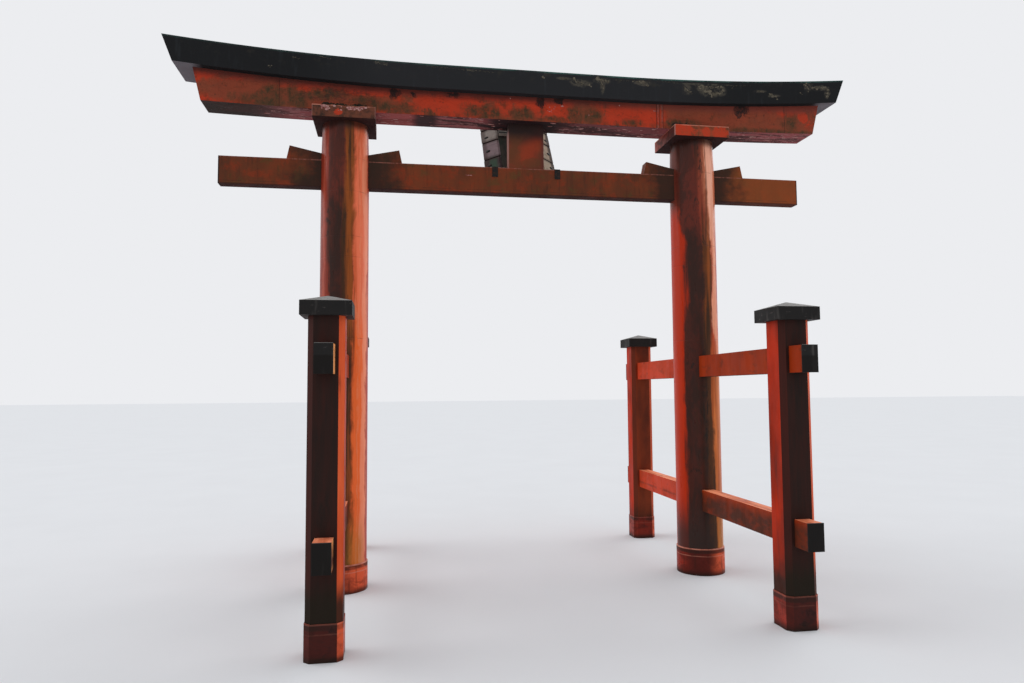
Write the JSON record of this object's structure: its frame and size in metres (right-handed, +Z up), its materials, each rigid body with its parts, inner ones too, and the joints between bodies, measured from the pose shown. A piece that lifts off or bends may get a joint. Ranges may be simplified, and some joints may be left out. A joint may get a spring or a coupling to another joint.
{
  "type": "torii gate",
  "caption": "Torii gate in vermilion wood: round main pillars braced by square posts, tie beam with wedges, double lintel with a black roof and a blank name plaque",
  "frame": {"origin": "midway between the six feet, on the plane where they meet the water", "axes": "+X along the lintels, +Y through the gateway towards the plaque side, +Z up"},
  "size_m": [11.9544, 7.227, 8.9898],
  "materials": {
    "vermilion_pillar": "weathered vermilion paint on timber, darker and browner where it faces the shore",
    "vermilion_post": "weathered vermilion paint on timber with drip stains",
    "vermilion_tie": "weathered vermilion paint on timber",
    "vermilion_beam": "weathered vermilion paint on timber",
    "vermilion_lintel": "faded vermilion paint, algae and drip stains, peeling underneath",
    "red_sleeve": "redder paint, wet and stained at the foot",
    "black_roof": "black painted sheet with pale lichen",
    "black_cladding": "black painted sheet",
    "black_iron": "black iron",
    "plaque_board": "bare weathered board, face left blank",
    "plaque_wood": "grey weathered wood"
  },
  "bodies": {
    "root": {"back_left_lower_tie_plate": "black_cladding", "back_left_post": "vermilion_post", "back_left_post_cap": "black_cladding", "back_left_post_sleeve": "red_sleeve", "back_left_upper_tie_plate": "black_cladding", "back_right_lower_tie_plate": "black_cladding", "back_right_post": "vermilion_post", "back_right_post_cap": "black_cladding", "back_right_post_sleeve": "red_sleeve", "back_right_upper_tie_plate": "black_cladding", "centre_strut": "vermilion_beam", "front_left_lower_tie_plate": "black_cladding", "front_left_post": "vermilion_post", "front_left_post_cap": "black_cladding", "front_left_post_sleeve": "red_sleeve", "front_left_upper_tie_plate": "black_cladding", "front_right_lower_tie_plate": "black_cladding", "front_right_post": "vermilion_post", "front_right_post_cap": "black_cladding", "front_right_post_sleeve": "red_sleeve", "front_right_upper_tie_plate": "black_cladding", "left_inner_wedge": "vermilion_beam", "left_lower_side_tie": "vermilion_tie", "left_main_pillar": "vermilion_pillar", "left_outer_wedge": "vermilion_beam", "left_pillar_plate": "vermilion_beam", "left_pillar_sleeve": "red_sleeve", "left_upper_side_tie": "vermilion_tie", "lower_lintel": "vermilion_lintel", "plaque_board": "plaque_board", "plaque_frame": "plaque_wood", "plaque_left_bracket": "black_iron", "plaque_lower_batten": "plaque_wood", "plaque_right_bracket": "black_iron", "plaque_stays": "black_iron", "plaque_upper_batten": "plaque_wood", "right_inner_wedge": "vermilion_beam", "right_lower_side_tie": "vermilion_tie", "right_main_pillar": "vermilion_pillar", "right_outer_wedge": "vermilion_beam", "right_pillar_plate": "vermilion_beam", "right_pillar_sleeve": "red_sleeve", "right_upper_side_tie": "vermilion_tie", "tie_beam": "vermilion_beam", "upper_lintel": "black_roof"}
  },
  "joints": []
}
